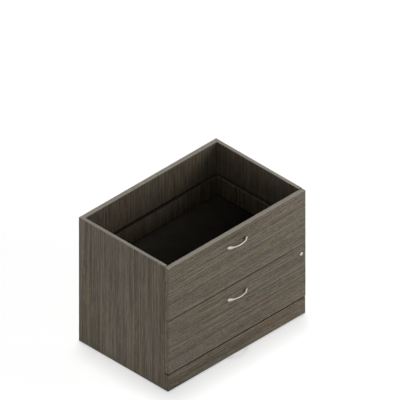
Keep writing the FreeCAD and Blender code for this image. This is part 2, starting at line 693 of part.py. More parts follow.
def lock_plug(screw_bore):
    """Turning plug with an upright keyway and a square tail."""
    face_y = FACE_Y - LOCK_FACE_PROUD + PLUG_RECESS
    plug = lock_rod(PLUG_R, face_y, FRONT_BACK_Y + BARREL_TAIL).fuse(plug_tail(0)).removeSplitter()
    keyway_x = (LOCK_X - KEYWAY_W / 2, LOCK_X + KEYWAY_W / 2)
    keyway_z = (LOCK_Z - KEYWAY_H / 2, LOCK_Z + KEYWAY_H / 2)
    return plug.cut([box(keyway_x, (face_y, face_y + KEYWAY_DEPTH), keyway_z), screw_bore])


def lock_cam():
    """Cam plate on the plug tail with the pin that lifts the bar."""
    pin_x = LOCK_X - PIN_SIDE
    pin_z = LOCK_Z - PIN_SIDE
    hub = lock_rod(CAM_HUB_R, *CAM_Y)
    arm = rod(CAM_ARM_R, Vec(pin_x, CAM_Y[0], pin_z), Vec(pin_x, CAM_Y[1], pin_z))
    pin = rod(CAM_PIN_R, Vec(pin_x, CAM_Y[0], pin_z), Vec(pin_x, CAM_Y[1] + CAM_PIN_LENGTH, pin_z))
    return hub.fuse([arm, pin]).removeSplitter().cut(plug_tail(PLUG_PLAY))


def lock_cam_screw():
    """Screw that holds the cam on the plug tail, and its bore."""
    deep = CAM_Y[0] - CAM_T
    bore = lock_rod(CAM_SCREW_R + PLUG_PLAY, deep - PLUG_PLAY, CAM_Y[1])
    head = lock_rod(SCREW_HEAD_R, CAM_Y[1], CAM_Y[1] + SCREW_HEAD_H)
    return head.fuse(lock_rod(CAM_SCREW_R, deep, CAM_Y[1])).removeSplitter(), bore


def lift_bar():
    """Flat bar with the lug over the cam pin and one lug below each catch."""
    bar = box(BAR_X, BAR_Y, BAR_Z)
    drive_x = (LOCK_X - PIN_SIDE - CAM_ARM_R, BAR_X[1])
    lugs = [box(drive_x, BAR_Y, (DRIVE_LUG_Z, DRIVE_LUG_Z + DRIVE_LUG_T))]
    for catch_z in (LOWER_CATCH_Z, UPPER_CATCH_Z):
        top = catch_z - LUG_BELOW_CATCH
        lugs.append(box((INNER_X - LUG_REACH, BAR_X[1]), BAR_Y, (top - LUG_T, top)))
    return bar.fuse(lugs).removeSplitter()


def bar_guides(holes):
    """Straps over the groove that keep the bar in it."""
    straps = []
    for z in GUIDE_ZS:
        y = (GROOVE_Y[0] - GUIDE_FLANGE, GROOVE_Y[1] + GUIDE_FLANGE)
        strap = box((INNER_X - GUIDE_T, INNER_X), y, (z - GUIDE_H / 2, z + GUIDE_H / 2))
        straps.append(drilled(strap, holes))
    return straps


def case_nodes(screw_holes):
    """Boards and fittings of the case."""
    pins, dowel_holes = case_dowels()
    holes = dowel_holes + screw_holes
    right_end = end_panel(holes)
    nodes = {
        "left_end_panel": [mirrored(end_panel([mirrored(hole) for hole in holes]))],
        "right_end_panel": [right_end.cut(bar_groove())],
        "back_panel": [back_panel(holes)],
        "bottom_panel": [bottom_panel(holes)],
        "kick_board": [kick_board(holes)],
        "front_rail": [front_rail(holes)],
        "case_dowels": pins,
        "drawer_bumpers": bumpers(),
    }
    brackets = []
    for place, (x, y) in foot_places().items():
        brackets.append(leveller_bracket(x, y, screw_holes))
        foot = levelling_foot(x, y)
        nodes["levelling_foot_" + place + "_right"] = [foot]
        nodes["levelling_foot_" + place + "_left"] = [mirrored(foot)]
    nodes["leveller_brackets"] = both_sides(brackets)
    return nodes


def lock_nodes(screw_holes):
    """Lock, lift bar and bar guides."""
    cam_screw, cam_bore = lock_cam_screw()
    return {
        "lock_barrel": [lock_barrel()],
        "lock_nut": [lock_nut()],
        "lock_plug": [lock_plug(cam_bore)],
        "lock_cam": [lock_cam()],
        "lock_cam_screw": [cam_screw],
        "lock_bar": [lift_bar()],
        "lock_bar_guides": bar_guides(screw_holes),
    }


def all_nodes():
    """Every node by name, each a list of separate solids."""
    screws, screw_holes = case_screws()
    nodes = case_nodes(screw_holes)
    nodes["case_screws"] = screws
    lock_bore = lock_rod(BARREL_R + BARREL_PLAY, FACE_Y, FRONT_BACK_Y)
    upper = (UPPER_FRONT_Z, UPPER_BOX_Z, UPPER_HANDLE_Z, UPPER_CATCH_Z)
    lower = (LOWER_FRONT_Z, LOWER_BOX_Z, LOWER_HANDLE_Z, LOWER_CATCH_Z)
    nodes.update(drawer_nodes("upper", *upper, [], screw_holes))
    nodes.update(drawer_nodes("lower", *lower, [lock_bore], screw_holes))
    nodes.update(lock_nodes(screw_holes))
    return nodes


def write(nodes):
    """One file per node in the parts folder."""
    os.makedirs("parts", exist_ok=True)
    for name, solids in nodes.items():
        shape = solids[0] if len(solids) == 1 else Part.makeCompound(solids)
        shape.exportStep("parts/" + name + ".step")


write(all_nodes())
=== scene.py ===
import math

import bmesh
import bpy
from bpy.props import FloatProperty, FloatVectorProperty, PointerProperty
from mathutils import Matrix, Vector


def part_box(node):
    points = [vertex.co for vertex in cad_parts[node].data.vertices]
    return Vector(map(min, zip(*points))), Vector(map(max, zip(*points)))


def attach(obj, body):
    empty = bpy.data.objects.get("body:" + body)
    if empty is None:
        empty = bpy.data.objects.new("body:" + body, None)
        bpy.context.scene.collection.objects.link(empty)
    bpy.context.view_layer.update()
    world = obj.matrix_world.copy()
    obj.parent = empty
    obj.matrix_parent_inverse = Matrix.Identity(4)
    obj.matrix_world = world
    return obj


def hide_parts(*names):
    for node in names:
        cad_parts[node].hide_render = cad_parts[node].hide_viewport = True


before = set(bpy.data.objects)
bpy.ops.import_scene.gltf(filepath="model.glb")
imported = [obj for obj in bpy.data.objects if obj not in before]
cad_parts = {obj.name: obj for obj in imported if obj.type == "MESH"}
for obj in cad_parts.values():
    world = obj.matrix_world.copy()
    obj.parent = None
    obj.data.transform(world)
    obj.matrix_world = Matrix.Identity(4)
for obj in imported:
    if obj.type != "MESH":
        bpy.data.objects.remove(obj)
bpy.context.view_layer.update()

bl_info = {
    "name": "Two-drawer credenza",
    "version": (1, 0, 0),
    "blender": (4, 5, 0),
    "location": "3D View > Sidebar > Credenza",
    "description": "Woodgrain boards, metal fittings and a plain stage for a two-drawer credenza",
    "category": "Object",
}

LEVELS = ("upper", "lower")
SIDES = ("left", "right")
UPRIGHT_BOARDS = ("left_end_panel", "right_end_panel", "back_panel")
LEVEL_BOARDS = ("kick_board", "front_rail")
BOX_BOARDS = ("inner_front", "left_side", "right_side", "back")
SLIDE_MEMBERS = ("case", "middle", "drawer")
LOCK_STEEL = (
    "lock_nut", "lock_cam", "lock_bar", "lock_bar_guides", "upper_lock_catch", "lower_lock_catch",
)
FEET = tuple(f"levelling_foot_{row}_{side}" for row in ("front", "rear") for side in SIDES)

# Layers of the woodgrain: size along and across the grain, in streak lengths and widths
SHORT_STREAK = (0.11, 0.62, 0.62)
TICK = (0.024, 0.72, 0.72)
FIBRE = (0.05, 0.10, 0.10)
BAND = (1.6, 9.0, 9.0)
FIGURE = (0.45, 14.0, 14.0)
RED_DRIFT = (1.4, 8.0, 8.0)
BLUE_DRIFT = (1.1, 6.3, 6.3)
# Shares of its layers in the tone
STREAK_SHARE = 0.47
SHORT_STREAK_SHARE = 0.37
FIBRE_SHARE = 0.11
BAND_SHARE = 0.05
# The stretch in which nearly all values of a drift or figure lie
USUAL_NOISE = (0.38, 0.62)
# Gain of the spread from plain to figured wood, and roughness from dark to pale grain
FIGURE_SPREAD = (1.35, 0.70)
WOOD_ROUGHNESS = (0.58, 0.46)
PORE_DARKNESS = 0.3
PORE_DEPTH = 0.4
# Least and greatest tint of the drifts, and of an edge band against its colour
RED_TINT = (0.945, 1.055)
BLUE_TINT = (0.91, 1.08)
EDGE_TINT = (0.70, 1.10)
# A face counts as level or as an end where its normal leans to that axis by more than this
FACING_LIMIT = 0.7

# Sizes of small surface patterns, in metres
DUST_PATCH = 0.05
PEBBLE = 0.0011
RUBBER_CLOUD = 0.003
ZINC_CRYSTAL = 0.004
ZINC_DRIFT = 0.02
FINE_BRUSH_LINE = (0.02, 0.0004, 0.0004)
BROAD_BRUSH_LINE = (0.05, 0.0018, 0.0018)
DULL_ZINC = (0.30, 0.31, 0.32)

# Where painted light and shade fall on a drawer's black bottom, in metres, and how much paler it gets:
# paler to the left and to the back, darker to the right and to the front
PAINTED_LIGHT_ACROSS = (-0.30, 0.40)
PAINTED_LIGHT_ACROSS_GAIN = (1.6, 0.55)
PAINTED_LIGHT_DEEP = (0.0, 0.22)
PAINTED_LIGHT_DEEP_GAIN = (0.6, 1.8)

# Corners nearer than this, in metres, are one
SAME_CORNER = 1e-6

# The bow handle's mesh
BOW_STATIONS = 96
BOW_SECTION_POINTS = 28
BOW_SQUARENESS = 0.72

# A screw: sides of its round head, and shares of its head's radius
HEAD_SIDES = 24
HEAD_RIM = 0.95
HEAD_DEPTH = 0.5
HEAD_ROUNDING = 0.28
RECESS_LAND = 0.15
RECESS_REACH = 0.30
RECESS_LOBE = 0.20
RECESS_DEPTH = 0.3
SHANK_SETBACK = 0.5

# The stage, in metres and radians
FLOOR_GREYS = (0.61, 0.63)
FLOOR_CLOUD = 0.3
TOP_LAMP_HEIGHT = 3.0
OVERHEAD_SOFTNESS = math.radians(2.0)
FRONT_LAMP_SIZE = (1.4, 0.8)
CAMERA_DISTANCE = 6.0


def colour(name, description, default):
    """A colour setting."""
    return FloatVectorProperty(
        name=name, description=description, default=default, size=3, min=0.0, max=1.0, subtype="COLOR"
    )


def length(name, description, default):
    """A setting in metres."""
    return FloatProperty(name=name, description=description, default=default, min=0.0, unit="LENGTH")


def amount(name, description, default, most=1.0):
    """A plain number setting from 0 up to most."""
    return FloatProperty(
        name=name, description=description, default=default, min=0.0, max=most, subtype="FACTOR"
    )


def angle(name, description, degrees):
    """An angle setting, given in degrees."""
    return FloatProperty(
        name=name, description=description, default=math.radians(degrees), subtype="ANGLE"
    )


class CredenzaLaminate(bpy.types.PropertyGroup):
    """Colours and grain of the woodgrain laminate"""

    pale: colour("Pale streak", "Colour of the palest streaks", (0.226, 0.190, 0.141))
    middle: colour("Ground", "Colour between the streaks", (0.151, 0.124, 0.087))
    dark: colour("Dark streak", "Colour of the darkest streaks", (0.0885, 0.071, 0.0473))
    edge: colour("Edge band", "Colour of the edge bands", (0.212, 0.194, 0.164))
    streak_width: length("Streak width", "Width of one streak across the grain", 0.0054)
    upright_length: length("Upright streaks", "Length of the streaks on the ends and the back", 0.65)
    level_length: length("Level streaks", "Length of the streaks on the fronts and kick board", 0.50)
    upright_spread: amount("Upright contrast", "Smaller values give upright grain more contrast", 0.072)
    level_spread: amount("Level contrast", "Smaller values give level grain more contrast", 0.052)
    upright_ticks: amount("Upright ticks", "Strength of the short ticks in the upright grain", 0.12)
    level_ticks: amount("Level ticks", "Strength of the short ticks in the level grain", 0.30)
    relief: length("Relief", "Depth of the pressed grain", 0.00025)


class CredenzaBoards(bpy.types.PropertyGroup):
    """Colours of the boards and small parts inside"""

    # Painted shade: the drawer bottoms' near-black colour stands in for the deep shade inside the
    # drawers.
    black: colour("Black board", "Colour of the drawer bottoms", (0.0030, 0.0026, 0.0020))
    # Painted shade: near-black edge bands that darken the gap between the drawer fronts and the drawer
    # boxes' rims inside the shaded drawers.
    painted_shade_edge: colour("Dark edge", "Colour of the edge bands inside", (0.0105, 0.0090, 0.0068))
    beech_pale: colour("Beech, pale", "Pale wood of the dowels", (0.60, 0.40, 0.24))
    beech_dark: colour("Beech, dark", "Dark wood of the dowels", (0.40, 0.24, 0.13))
    rubber: colour("Bumper", "Colour of the soft bumpers", (0.34, 0.33, 0.31))
    dust: colour("Dust", "Colour of settled dust", (0.30, 0.28, 0.25))


class CredenzaMetals(bpy.types.PropertyGroup):
    """Colours of the metal parts"""

    nickel: colour("Satin nickel", "Colour of the handles", (0.60, 0.57, 0.54))
    # Painted shade: a near-black on the handles' faces that look back to the drawer front, standing in
    # for the shade and dark reflection there.
    nickel_painted_shade: colour("Painted nickel shade", "Colour of the handles' inner side", (0.04, 0.035, 0.03))
    chrome: colour("Chrome", "Colour of the lock face", (0.66, 0.65, 0.62))
    slide: colour("Slide steel", "Colour of the drawer slides", (0.50, 0.52, 0.54))
    zinc: colour("Zinc", "Colour of the screws, lock bar and feet", (0.56, 0.56, 0.55))


class CredenzaHandle(bpy.types.PropertyGroup):
    """Sizes of the bow handles"""

    thick: length("Thickness", "Thickness at the middle of the bow", 0.0045)
    inner_span: length("Inner span", "Clear width between the feet", 0.096)
    waist: length("Waist", "Height at the middle of the bow", 0.006)
    foot_length: length("Foot length", "Length of an oval foot", 0.020)
    neck_span: length("Neck span", "Length of the bow before it widens", 0.062)
    tip_run: length("Tip run", "How far the outer arc would run past a foot", 0.005)


class CredenzaStage(bpy.types.PropertyGroup):
    """Camera, lamps and floor"""

    azimuth: angle("Azimuth", "Camera's turn from the front", -45.0)
    elevation: angle("Elevation", "Camera's height angle", math.degrees(math.atan(math.sqrt(0.5))))
    view_width: length("View width", "Width that the camera sees", 1.883)
    view_right: length("View right", "Picture's middle, right of the case's foot", 0.0368)
    view_up: length("View up", "Picture's middle, above the case's foot", 0.5970)
    overhead: amount("Overhead lamp", "Light of the overhead lamp on a level face", 0.40, 4.0)
    rear: amount("Rear lamp", "Light of the high rear lamp on a level face", 0.45, 4.0)
    rear_lean: angle("Rear lamp lean", "Lean of the rear lamp from straight overhead", 9.0)
    rear_turn: angle("Rear lamp turn", "Turn of the rear lamp from behind to the right", 37.0)
    rear_soft: angle("Rear lamp softness", "Apparent width of the rear lamp", 13.0)
    front: amount("Front lamp", "Light of the front lamp on the drawer fronts", 0.170, 4.0)
    front_turn: angle("Front lamp turn", "Turn of the front lamp to the right", 40.0)
    front_distance: length("Front lamp distance", "Distance of the front lamp from the fronts", 2.4)
    front_height: length("Front lamp height", "Height of the front lamp's middle", 1.38)
    walls: amount("Studio walls", "Light from the studio's walls, near the floor line", 1.20, 4.0)
    ceiling: amount("Studio ceiling", "Light from the studio's ceiling", 0.05, 4.0)
    walls_top: amount("Wall height", "Sine of the height angle at which the walls end", 0.42)
    floor_size: length("Floor", "Width of the floor", 40.0)
    floor_bounce: amount("Floor bounce", "Share of the light that the floor throws back", 0.50)
    floor_glow: amount("Floor glow", "Light that lifts the floor's shadow for the camera", 0.40)


class Nodes:
    """Adds nodes to one node tree and feeds their sockets."""

    def __init__(self, tree):
        self.tree = tree

    def add(self, kind, sockets=None, **settings):
        node = self.tree.nodes.new("ShaderNode" + kind)
        for name, value in settings.items():
            setattr(node, name, value)
        for key, value in (sockets or {}).items():
            self.feed(node.inputs[key], value)
        return node

    def feed(self, socket, value):
        if isinstance(value, bpy.types.NodeSocket):
            self.tree.links.new(value, socket)
        elif socket.type == "RGBA" and len(value) == 3:
            socket.default_value = (*value, 1.0)
        else:
            socket.default_value = value

    def math(self, operation, first, second=0.0):
        return self.add("Math", {0: first, 1: second}, operation=operation).outputs[0]

    def weigh(self, *pairs):
        total = None
        for value, share in pairs:
            part = self.math("MULTIPLY", value, share)
            total = part if total is None else self.math("ADD", total, part)
        return total

    def stretch(self, vector, sizes):
        sizes = (sizes,) * 3 if isinstance(sizes, float) else sizes
        scale = tuple(1.0 / size for size in sizes)
        return self.add("VectorMath", {0: vector, 1: scale}, operation="MULTIPLY").outputs[0]

    def noise(self, vector, detail=2.0, roughness=0.5, distortion=0.0):
        sockets = {
            "Vector": vector, "Scale": 1.0, "Detail": detail, "Roughness": roughness,
            "Distortion": distortion,
        }
        return self.add("TexNoise", sockets).outputs[0]

    def between(self, value, low, high, start=0.0, end=1.0):
        sockets = {"Value": value, 1: low, 2: high, 3: start, 4: end}
        return self.add("MapRange", sockets).outputs[0]

    def blend(self, factor, first, second, kind="MIX"):
        node = self.add("Mix", {0: factor, 6: first, 7: second}, data_type="RGBA", blend_type=kind)
        return node.outputs[2]

    def choose(self, factor, first, second):
        return self.add("Mix", {0: factor, 2: first, 3: second}, data_type="FLOAT").outputs[0]

    def split(self, vector):
        return self.add("SeparateXYZ", {0: vector}).outputs

    def join(self, x, y, z):
        return self.add("CombineXYZ", {0: x, 1: y, 2: z}).outputs[0]

    def place(self):
        return self.add("TexCoord").outputs["Object"]

    def facing(self, axis):
        normal = self.split(self.add("NewGeometry").outputs["Normal"])[axis]
        return self.math("GREATER_THAN", self.math("ABSOLUTE", normal), FACING_LIMIT)

    def bump(self, height, depth, strength=1.0):
        sockets = {"Height": height, "Distance": depth, "Strength": strength}
        return self.add("Bump", sockets).outputs[0]

    def use(self, group, sockets):
        node = self.add("Group", node_tree=group)
        for key, value in sockets.items():
            self.feed(node.inputs[key], value)
        return node.outputs


def shared_group(name, inputs, outputs, fill):
    """A shader node group that is built once and then found by its name."""
    tree = bpy.data.node_groups.get(name)
    if tree:
        return tree
    tree = bpy.data.node_groups.new(name, "ShaderNodeTree")
    for label, kind in inputs:
        tree.interface.new_socket(label, in_out="INPUT", socket_type="NodeSocket" + kind)
    for label, kind in outputs:
        tree.interface.new_socket(label, in_out="OUTPUT", socket_type="NodeSocket" + kind)
    source = tree.nodes.new("NodeGroupInput").outputs
    target = tree.nodes.new("NodeGroupOutput").inputs
    fill(Nodes(tree), source, target)
    return tree


def woodgrain():
    """Long soft streaks, short ticks and fine fibres that run along the first coordinate."""

    def fill(nodes, source, target):
        place = source["Place"]
        across = nodes.math("DIVIDE", 1.0, source["Width"])
        along = nodes.math("DIVIDE", 1.0, source["Length"])
        x, y, z = nodes.split(place)
        v = nodes.math("MULTIPLY", y, across)
        w = nodes.math("MULTIPLY", z, across)
        u = nodes.math("MULTIPLY", x, along)
        vector = nodes.join(u, v, w)
        streak = nodes.noise(vector, 3.0, 0.55)
        short = nodes.noise(nodes.stretch(vector, SHORT_STREAK), 3.0, 0.6)
        tick = nodes.noise(nodes.stretch(vector, TICK), 2.0, 0.6)
        fibre = nodes.noise(nodes.stretch(vector, FIBRE), 3.0, 0.65)
        band = nodes.noise(nodes.stretch(vector, BAND), 1.0)
        tone = nodes.weigh(
            (streak, STREAK_SHARE), (short, SHORT_STREAK_SHARE),
            (fibre, FIBRE_SHARE), (band, BAND_SHARE),
        )
        tone = nodes.weigh((tone, 1.0), (nodes.math("SUBTRACT", tick, 0.5), source["Ticks"]))
        figure = nodes.noise(nodes.stretch(vector, FIGURE), 2.0)
        calm = nodes.between(figure, *USUAL_NOISE, *FIGURE_SPREAD)
        calm = nodes.math("MULTIPLY", source["Spread"], calm)
        lift = nodes.between(tone, 0.5, nodes.math("ADD", 0.5, calm))
        sink = nodes.between(tone, 0.5, nodes.math("SUBTRACT", 0.5, calm))
        shade = nodes.blend(lift, source["Middle"], source["Pale"])
        shade = nodes.blend(sink, shade, source["Dark"])
        red = nodes.noise(nodes.stretch(vector, RED_DRIFT), 3.0, 0.6)
        red = nodes.between(red, *USUAL_NOISE, *RED_TINT)
        blue = nodes.noise(nodes.stretch(vector, BLUE_DRIFT), 3.0, 0.6)
        blue = nodes.between(blue, *USUAL_NOISE, *BLUE_TINT)
        tint = nodes.join(red, 1.0, blue)
        shade = nodes.blend(1.0, shade, tint, "MULTIPLY")
        pore = nodes.between(fibre, 0.40, 0.30)
        pored = nodes.blend(nodes.math("MULTIPLY", pore, PORE_DARKNESS), shade, source["Dark"])
        relief = nodes.math("SUBTRACT", tone, nodes.math("MULTIPLY", pore, PORE_DEPTH))
        nodes.feed(target["Colour"], pored)
        nodes.feed(target["Relief"], relief)
        nodes.feed(target["Roughness"], nodes.between(tone, 0.35, 0.65, *WOOD_ROUGHNESS))

    inputs = (
        ("Place", "Vector"), ("Width", "Float"), ("Length", "Float"), ("Spread", "Float"),
        ("Ticks", "Float"), ("Pale", "Color"), ("Middle", "Color"), ("Dark", "Color"),
    )
    outputs = (("Colour", "Color"), ("Relief", "Float"), ("Roughness", "Float"))
    return shared_group("Woodgrain", inputs, outputs, fill)


def settled_dust():
    """Thin patchy dust on faces that look up."""

    def fill(nodes, source, target):
        up = nodes.split(nodes.add("NewGeometry").outputs["Normal"])[2]
        level = nodes.between(up, 0.6, 1.0)
        patch = nodes.noise(nodes.stretch(source["Place"], DUST_PATCH), 5.0, 0.65)
        patch = nodes.between(patch, 0.4, 0.7)
        mask = nodes.math("MULTIPLY", nodes.math("MULTIPLY", level, patch), source["Amount"])
        nodes.feed(target["Colour"], nodes.blend(mask, source["Colour"], source["Dust"]))
        nodes.feed(target["Mask"], mask)

    inputs = (("Place", "Vector"), ("Colour", "Color"), ("Dust", "Color"), ("Amount", "Float"))
    return shared_group("Settled dust", inputs, (("Colour", "Color"), ("Mask", "Float")), fill)


def handling_marks():
    """Soft smears left by hands and cloths, as a mask."""

    def fill(nodes, source, target):
        scale = nodes.math("DIVIDE", 1.0, source["Size"])
        place = nodes.add("VectorMath", {0: source["Place"], 3: scale}, operation="SCALE").outputs[0]
        smear = nodes.noise(place, 4.0, 0.6, 0.6)
        speck = nodes.noise(nodes.stretch(place, 0.08), 2.0)
        nodes.feed(target["Mask"], nodes.between(nodes.weigh((smear, 0.75), (speck, 0.25)), 0.36, 0.64))

    inputs = (("Place", "Vector"), ("Size", "Float"))
    return shared_group("Handling marks", inputs, (("Mask", "Float"),), fill)


def brushing():
    """Fine parallel lines of a brushed or drawn metal, along the first coordinate."""

    def fill(nodes, source, target):
        line = nodes.noise(nodes.stretch(source["Place"], FINE_BRUSH_LINE), 3.0, 0.6)
        broad = nodes.noise(nodes.stretch(source["Place"], BROAD_BRUSH_LINE), 2.0)
        nodes.feed(target["Lines"], nodes.weigh((line, 0.5), (broad, 0.5)))

    return shared_group("Brushing", (("Place", "Vector"),), (("Lines", "Float"),), fill)


def blank(name):
    """A new material with its node builder and its Principled shader."""
    material = bpy.data.materials.new(name)
    material.use_nodes = True
    nodes = Nodes(material.node_tree)
    return material, nodes, material.node_tree.nodes["Principled BSDF"].inputs


def laminate(name, upright, looks, edge, dust, paleness=1.0, shine=0.25):
    """Woodgrain laminate with grain up the boards or along them; an edge colour bands level edges."""
    material, nodes, shader = blank(name)
    place = nodes.place()
    x, y, z = nodes.split(place)
    level = nodes.facing(2)
    if upright:
        grain = nodes.join(nodes.choose(level, z, y), x, nodes.choose(level, y, z))
    else:
        end = nodes.facing(0)
        grain = nodes.join(nodes.choose(end, x, z), nodes.choose(end, z, x), y)
    sockets = {
        "Place": grain, "Width": looks.streak_width,
        "Length": looks.upright_length if upright else looks.level_length,
        "Spread": looks.upright_spread if upright else looks.level_spread,
        "Ticks": looks.upright_ticks if upright else looks.level_ticks,
        "Pale": [paleness * part for part in looks.pale],
        "Middle": [paleness * part for part in looks.middle],
        "Dark": [paleness * part for part in looks.dark],
    }
    wood = nodes.use(woodgrain(), sockets)
    shade = wood["Colour"]
    if edge:
        low, high = (tuple(share * part for part in edge) for share in EDGE_TINT)
        band = nodes.blend(nodes.between(wood["Relief"], 0.4, 0.6), low, high)
        shade = nodes.blend(level, shade, band)
    sockets = {"Place": place, "Colour": shade, "Dust": dust, "Amount": 0.12}
    dusty = nodes.use(settled_dust(), sockets)
    marks = nodes.use(handling_marks(), {"Place": place, "Size": 0.16})["Mask"]
    rough = nodes.weigh((wood["Roughness"], 1.0), (marks, 0.06), (dusty["Mask"], 0.3))
    nodes.feed(shader["Base Color"], dusty["Colour"])
    nodes.feed(shader["Roughness"], rough)
    nodes.feed(shader["Specular IOR Level"], shine)
    nodes.feed(shader["Normal"], nodes.bump(wood["Relief"], looks.relief, strength=0.6))
    return material


def black_board(looks):
    """Black melamine board with a fine pebbled face, painted paler to the left and to the back and
    darker to the right and front, as light and shade.
    """
    material, nodes, shader = blank("black_melamine")
    place = nodes.place()
    pebble = nodes.noise(nodes.stretch(place, PEBBLE), 3.0, 0.6)
    marks = nodes.use(handling_marks(), {"Place": place, "Size": 0.12})["Mask"]
    tone = nodes.weigh((marks, 0.6), (pebble, 0.8))
    pale = tuple(1.8 * part for part in looks.black)
    shade = nodes.blend(nodes.between(tone, 0.3, 1.1), looks.black, pale)
    # Painted light and shade: the bottom's colour is scaled paler to the left and to the back and
    # darker to the right and to the front.
    x, y, _ = nodes.split(place)
    painted_light_left = nodes.between(x, *PAINTED_LIGHT_ACROSS, *PAINTED_LIGHT_ACROSS_GAIN)
    painted_light_back = nodes.between(y, *PAINTED_LIGHT_DEEP, *PAINTED_LIGHT_DEEP_GAIN)
    painted_light_gain = nodes.math("MULTIPLY", painted_light_left, painted_light_back)
    shade = nodes.blend(1.0, shade, nodes.join(painted_light_gain, painted_light_gain, painted_light_gain), "MULTIPLY")
    sockets = {"Place": place, "Colour": shade, "Dust": looks.dust, "Amount": 0.003}
    dusty = nodes.use(settled_dust(), sockets)
    nodes.feed(shader["Base Color"], dusty["Colour"])
    nodes.feed(shader["Roughness"], nodes.between(tone, 0.2, 1.2, 0.40, 0.58))
    nodes.feed(shader["Specular IOR Level"], 0.01)
    nodes.feed(shader["Normal"], nodes.bump(pebble, depth=0.0001, strength=0.5))
    return material


def beech(looks):
    """Fluted beech of the dowels."""
    material, nodes, shader = blank("beech_wood")
    middle = tuple((a + b) / 2 for a, b in zip(looks.beech_pale, looks.beech_dark))
    sockets = {
        "Place": nodes.place(), "Width": 0.0016, "Length": 0.03, "Spread": 0.09, "Ticks": 0.1,
        "Pale": looks.beech_pale, "Middle": middle, "Dark": looks.beech_dark,
    }
    wood = nodes.use(woodgrain(), sockets)
    nodes.feed(shader["Base Color"], wood["Colour"])
    nodes.feed(shader["Roughness"], wood["Roughness"])
    nodes.feed(shader["Normal"], nodes.bump(wood["Relief"], depth=0.0001, strength=0.5))
    return material


def rubber(looks):
    """Soft clear-grey bumper rubber."""
    material, nodes, shader = blank("soft_rubber")
    place = nodes.place()
    cloud = nodes.noise(nodes.stretch(place, RUBBER_CLOUD), 3.0)
    pale = tuple(1.25 * part for part in looks.rubber)
    nodes.feed(shader["Base Color"], nodes.blend(nodes.between(cloud, 0.35, 0.65), looks.rubber, pale))
    nodes.feed(shader["Roughness"], nodes.between(cloud, 0.3, 0.7, 0.35, 0.5))
    nodes.feed(shader["Normal"], nodes.bump(cloud, depth=0.00005))
    return material


def drawn_metal(name, tint, along, smooth, rough, inside=None):
    """Metal with fine lines along one axis; an inside colour paints shade on the sides that look back
    towards the drawer front.
    """
    material, nodes, shader = blank(name)
    place = nodes.place()
    axes = list(nodes.split(place))
    first = axes.pop(along)
    lines = nodes.use(brushing(), {"Place": nodes.join(first, *axes)})["Lines"]
    marks = nodes.use(handling_marks(), {"Place": place, "Size": 0.03})["Mask"]
    dull = tuple(0.86 * part for part in tint)
    tone = nodes.weigh((lines, 0.7), (marks, 0.3))
    shade = nodes.blend(nodes.between(tone, 0.3, 0.7), dull, tint)
    # Painted shade: faces that look back towards the drawer front take the inside colour.
    if inside:
        rear = nodes.split(nodes.add("NewGeometry").outputs["Normal"])[1]
        shade = nodes.blend(nodes.between(rear, 0.1, 0.4), shade, inside)
    nodes.feed(shader["Base Color"], shade)
    nodes.feed(shader["Metallic"], 1.0)
    nodes.feed(shader["Roughness"], nodes.between(tone, 0.3, 0.7, rough, smooth))
    nodes.feed(shader["Normal"], nodes.bump(lines, depth=0.00002, strength=0.5))
    return material


def zinc_plate(looks):
    """Zinc-plated steel with faint crystal patches and a warm and cool drift."""
    material, nodes, shader = blank("zinc_plating")
    place = nodes.place()
    sockets = {"Vector": nodes.stretch(place, ZINC_CRYSTAL), "Scale": 1.0}
    crystal = nodes.add("TexVoronoi", sockets)
    patch = nodes.split(crystal.outputs["Color"])[0]
    drift = nodes.noise(nodes.stretch(place, ZINC_DRIFT), 2.0)
    marks = nodes.use(handling_marks(), {"Place": place, "Size": 0.02})["Mask"]
    warm = tuple(part * gain for part, gain in zip(looks.zinc, (1.05, 1.0, 0.88)))
    shade = nodes.blend(nodes.between(drift, 0.4, 0.6), looks.zinc, warm)
    grey = nodes.blend(nodes.math("MULTIPLY", patch, 0.25), shade, DULL_ZINC)
    nodes.feed(shader["Base Color"], grey)
    nodes.feed(shader["Metallic"], 1.0)
    clean = nodes.between(patch, 0.0, 1.0, 0.30, 0.42)
    nodes.feed(shader["Roughness"], nodes.choose(marks, clean, 0.5))
    nodes.feed(shader["Normal"], nodes.bump(patch, depth=0.00001, strength=0.4))
    return material


def turned_chrome(looks):
    """Chrome with faint turning rings round the lock's axis."""
    material, nodes, shader = blank("turned_chrome")
    low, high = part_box("lock_plug")
    middle = [-(a + b) / 2 for a, b in zip(low, high)]
    place = nodes.place()
    centred = nodes.add("Mapping", {"Vector": place, "Location": middle}).outputs[0]
    sockets = {"Vector": centred, "Scale": 900.0, "Distortion": 0.4, "Detail": 1.0}
    rings = nodes.add("TexWave", sockets, wave_type="RINGS", rings_direction="Y").outputs[1]
    marks = nodes.use(handling_marks(), {"Place": place, "Size": 0.008})["Mask"]
    dull = tuple(0.88 * part for part in looks.chrome)
    nodes.feed(shader["Base Color"], nodes.blend(marks, looks.chrome, dull))
    nodes.feed(shader["Metallic"], 1.0)
    nodes.feed(shader["Roughness"], nodes.between(marks, 0.0, 1.0, 0.16, 0.30))
    nodes.feed(shader["Normal"], nodes.bump(rings, depth=0.00001, strength=0.4))
    return material


def material_of(name, make):
    """The named material, made the first time it is asked for."""
    return bpy.data.materials.get(name) or make()


def coat(names, material):
    """Gives the named CAD solids one material."""
    for name in names:
        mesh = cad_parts[name].data
        mesh.materials.clear()
        mesh.materials.append(material)


def zinc(scene):
    """Zinc plating, shared by the screws, the lock works and the feet."""
    return material_of("zinc_plating", lambda: zinc_plate(scene.credenza_metals))


